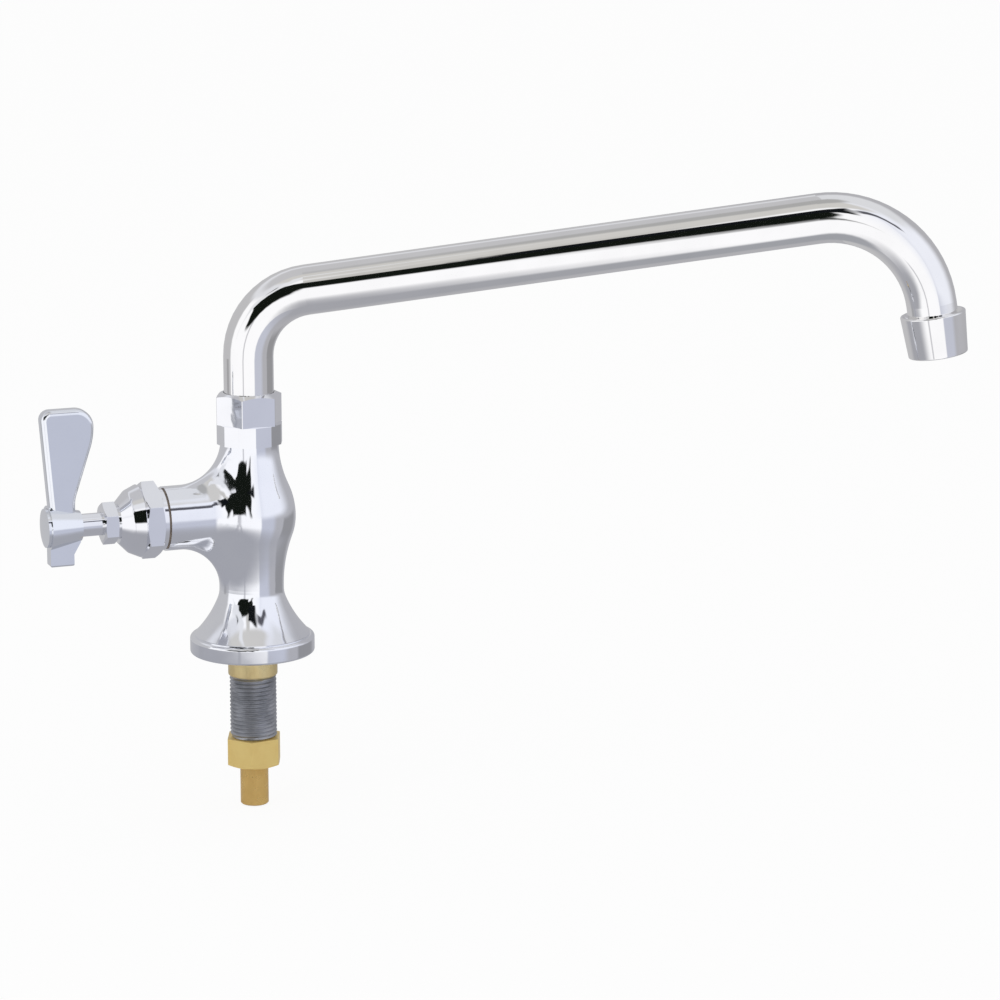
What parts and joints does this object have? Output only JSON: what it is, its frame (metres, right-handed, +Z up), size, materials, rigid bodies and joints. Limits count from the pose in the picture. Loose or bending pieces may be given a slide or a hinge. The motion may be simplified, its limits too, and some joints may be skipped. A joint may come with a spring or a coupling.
{
  "type": "swing spout pantry faucet",
  "caption": "Deck-mounted pantry faucet with a bell-shaped chromed body, a side lever valve and a long rising tube spout that swings.",
  "frame": {"origin": "centre of the flange's underside, on the deck plane, where the upright axis of body, shank and spout swivel meets it", "axes": "+Z up along the spout's swing axis, +X along the spout's run at rest, away from the body"},
  "size_m": [0.4086, 0.0704, 0.2783],
  "materials": {
    "chrome_body": "polished chrome plate on cast brass",
    "chrome_trim": "polished chrome plate on turned brass",
    "chrome_lever": "polished chrome plate on die casting",
    "chrome_spout": "polished chrome plate on brass tube",
    "brass_collar": "bare turned brass",
    "brass_hex": "bare milled brass",
    "brass_tube": "bare drawn brass",
    "brass_inner": "bare turned brass",
    "steel_screw": "stainless steel",
    "zinc_shank": "dull zinc-plated thread",
    "black_rubber": "moulded rubber",
    "fibre": "pressed fibre",
    "white_ptfe": "smooth white sealing plastic",
    "gray_plastic": "moulded plastic"
  },
  "bodies": {
    "faucet": {"faucet_body": "chrome_body", "base_gasket": "black_rubber", "shank_adapter": "brass_collar", "threaded_shank": "zinc_shank", "inlet_hex": "brass_hex", "inlet_seal": "fibre", "tailpiece": "brass_tube", "valve_seat": "brass_inner", "bonnet_gasket": "fibre", "bonnet": "chrome_trim", "stem_packing": "white_ptfe", "packing_washer": "brass_inner", "packing_nut": "chrome_trim", "swivel_collar": "chrome_trim", "spout_slip_ring": "white_ptfe", "spout_nut": "chrome_trim"},
    "spout": {"spout_tube": "chrome_spout", "spout_sleeve": "brass_inner", "spout_o_ring_lower": "black_rubber", "spout_o_ring_upper": "black_rubber", "outlet_adapter": "brass_inner", "aerator_housing": "chrome_spout", "aerator_washer": "black_rubber", "aerator_screen": "steel_screw", "aerator_insert": "gray_plastic"},
    "washer_carrier": {"washer_holder": "brass_inner", "seat_washer": "black_rubber", "washer_screw": "steel_screw"},
    "lever": {"stem": "chrome_trim", "lever_handle": "chrome_lever", "handle_screw": "steel_screw", "index_cap": "chrome_lever"}
  },
  "joints": [
    {"name": "spout_swing", "type": "hinge", "parent": "faucet", "child": "spout", "pos_m": [0, 0, 0.1], "axis": [0, 0, 1], "continuous": true},
    {"name": "washer_slide", "type": "slide", "parent": "faucet", "child": "washer_carrier", "axis": [-0.9336, -0.3584, 0], "range_m": [0, 0.002]},
    {"name": "lever_turn", "type": "hinge", "parent": "washer_carrier", "child": "lever", "pos_m": [0, 0, 0.0639], "axis": [-0.9336, -0.3584, 0], "range_deg": [0, 180]}
  ],
  "couplings": [
    {"joint": "washer_slide", "follows": "lever_turn", "m_per_rad": 0.000636}
  ]
}
